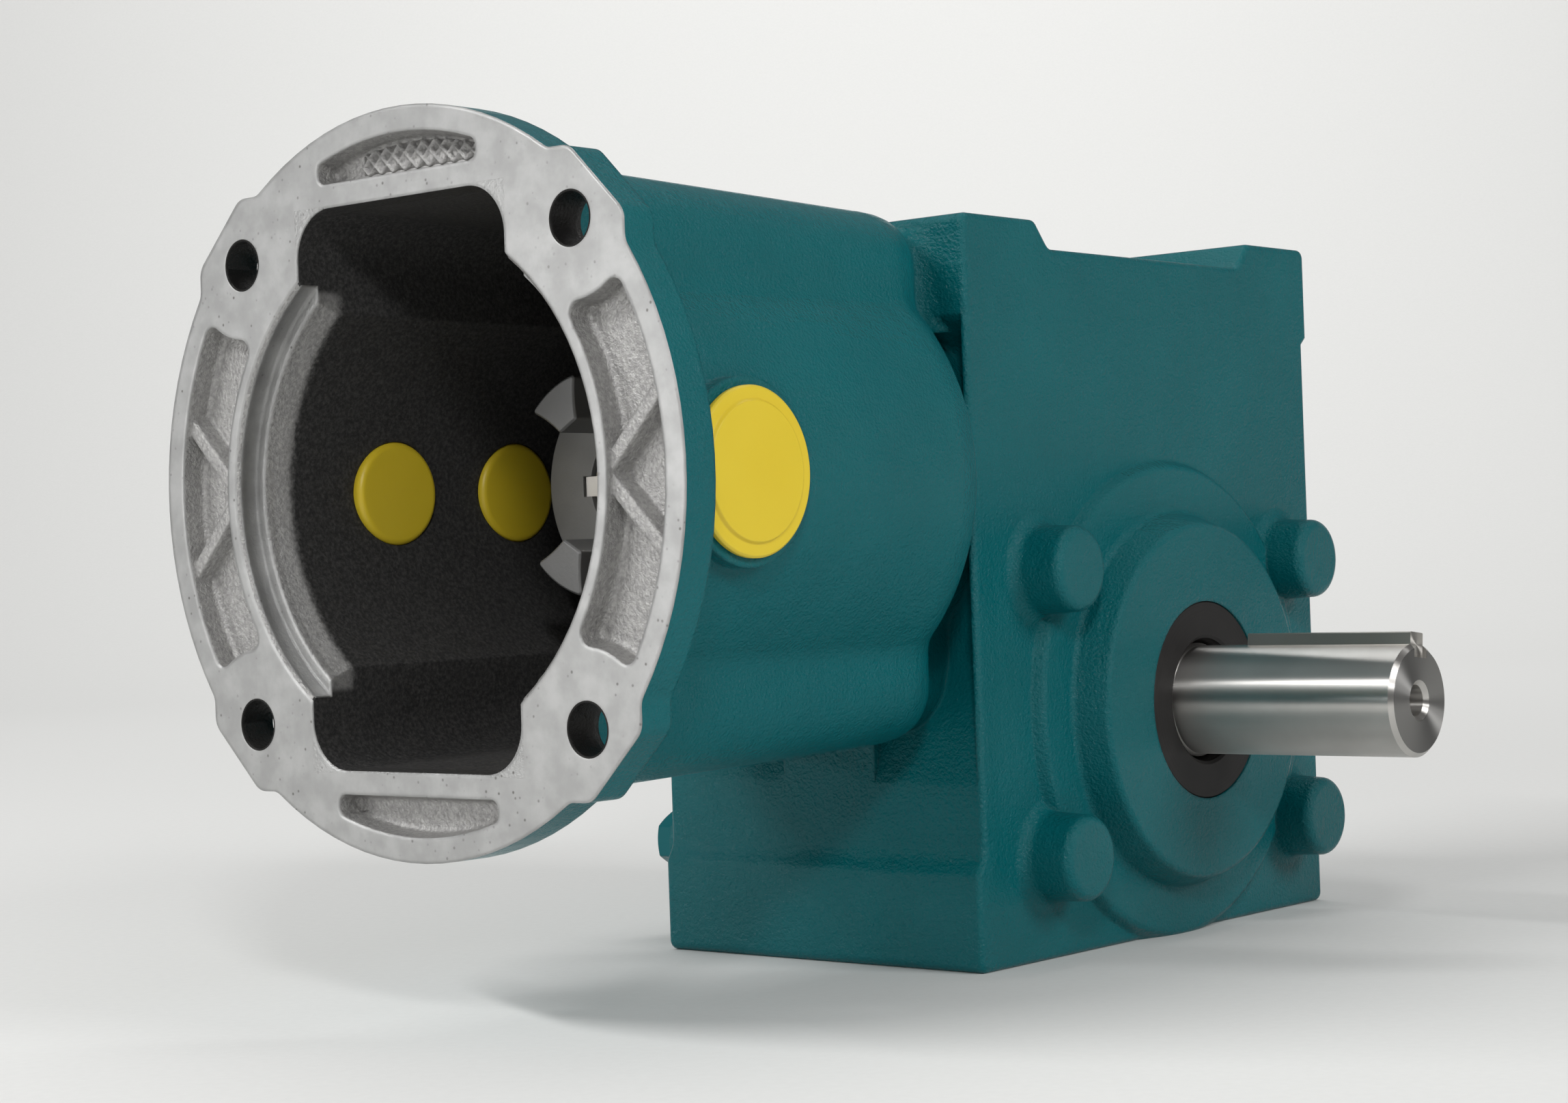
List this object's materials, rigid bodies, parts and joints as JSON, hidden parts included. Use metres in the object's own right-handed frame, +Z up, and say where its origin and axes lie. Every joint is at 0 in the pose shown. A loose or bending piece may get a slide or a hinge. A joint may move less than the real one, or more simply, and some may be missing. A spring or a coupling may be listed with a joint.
{
  "type": "worm gear reducer",
  "caption": "Right-angle worm gear reducer with a flanged motor bell, jaw coupling half, keyed output shaft and foot mounting.",
  "frame": {"origin": "on the foot plane, straight below the point where the output axis passes under the input axis", "axes": "+X along the output axis towards the shaft end, +Y along the input axis from the motor to the rear, +Z up from the foot"},
  "size_m": [0.2047, 0.3093, 0.2045],
  "materials": {
    "case_paint": "teal enamel over fine sand-cast iron, machined faces bare",
    "painted_screw": "teal enamel over steel",
    "seal_rubber": "dark grey-brown nitrile rubber, satin",
    "turned_steel": "turned and ground steel",
    "key_steel": "drawn key steel",
    "dark_steel": "black oxide steel",
    "gear_bronze": "machined gear bronze",
    "rough_iron": "machined grey iron",
    "sintered_steel": "dull grey sintered iron",
    "cap_plastic": "yellow moulded polyethylene",
    "bearing_steel": "ground bearing steel",
    "cage_steel": "pressed sheet steel"
  },
  "bodies": {
    "case": {"housing": "case_paint", "side_cover": "case_paint", "cover_o_ring": "seal_rubber", "cover_screws": "painted_screw", "oil_plugs": "painted_screw", "output_seal": "seal_rubber", "input_seal": "seal_rubber", "front_snap_ring": "dark_steel", "rear_snap_ring": "dark_steel", "rear_end_cap": "seal_rubber", "access_cap_near": "cap_plastic", "access_caps_far": "cap_plastic", "output_near_cup": "bearing_steel", "output_far_cup": "bearing_steel", "worm_front_cup": "bearing_steel", "worm_rear_cup": "bearing_steel"},
    "output": {"output_shaft": "turned_steel", "output_key": "key_steel", "wheel_key": "key_steel", "wheel_spacer": "dark_steel", "worm_wheel_rim": "gear_bronze", "worm_wheel_hub": "rough_iron", "output_near_cone": "bearing_steel", "output_far_cone": "bearing_steel"},
    "input": {"worm_shaft": "turned_steel", "coupling_hub": "sintered_steel", "coupling_key": "key_steel", "hub_set_screw": "dark_steel", "worm_front_cone": "bearing_steel", "worm_rear_cone": "bearing_steel"},
    "output_near_roller_set": {"output_near_rollers": "bearing_steel", "output_near_cage": "cage_steel"},
    "output_far_roller_set": {"output_far_rollers": "bearing_steel", "output_far_cage": "cage_steel"},
    "worm_front_roller_set": {"worm_front_rollers": "bearing_steel", "worm_front_cage": "cage_steel"},
    "worm_rear_roller_set": {"worm_rear_rollers": "bearing_steel", "worm_rear_cage": "cage_steel"}
  },
  "joints": [
    {"name": "output_spin", "type": "hinge", "parent": "case", "child": "output", "pos_m": [0, 0, 0.062], "axis": [1, 0, 0], "continuous": true},
    {"name": "input_spin", "type": "hinge", "parent": "case", "child": "input", "pos_m": [0, 0, 0.122], "axis": [0, 1, 0], "continuous": true},
    {"name": "output_near_orbit", "type": "hinge", "parent": "case", "child": "output_near_roller_set", "pos_m": [0, 0, 0.062], "axis": [1, 0, 0], "continuous": true},
    {"name": "output_far_orbit", "type": "hinge", "parent": "case", "child": "output_far_roller_set", "pos_m": [0, 0, 0.062], "axis": [1, 0, 0], "continuous": true},
    {"name": "worm_front_orbit", "type": "hinge", "parent": "case", "child": "worm_front_roller_set", "pos_m": [0, 0, 0.122], "axis": [0, 1, 0], "continuous": true},
    {"name": "worm_rear_orbit", "type": "hinge", "parent": "case", "child": "worm_rear_roller_set", "pos_m": [0, 0, 0.122], "axis": [0, 1, 0], "continuous": true}
  ],
  "couplings": [
    {"joint": "input_spin", "follows": "output_spin", "ratio": 20},
    {"joint": "output_near_orbit", "follows": "output_spin", "ratio": 0.4234},
    {"joint": "output_far_orbit", "follows": "output_spin", "ratio": 0.4234},
    {"joint": "worm_front_orbit", "follows": "output_spin", "ratio": 8.468},
    {"joint": "worm_rear_orbit", "follows": "output_spin", "ratio": 8.456}
  ]
}
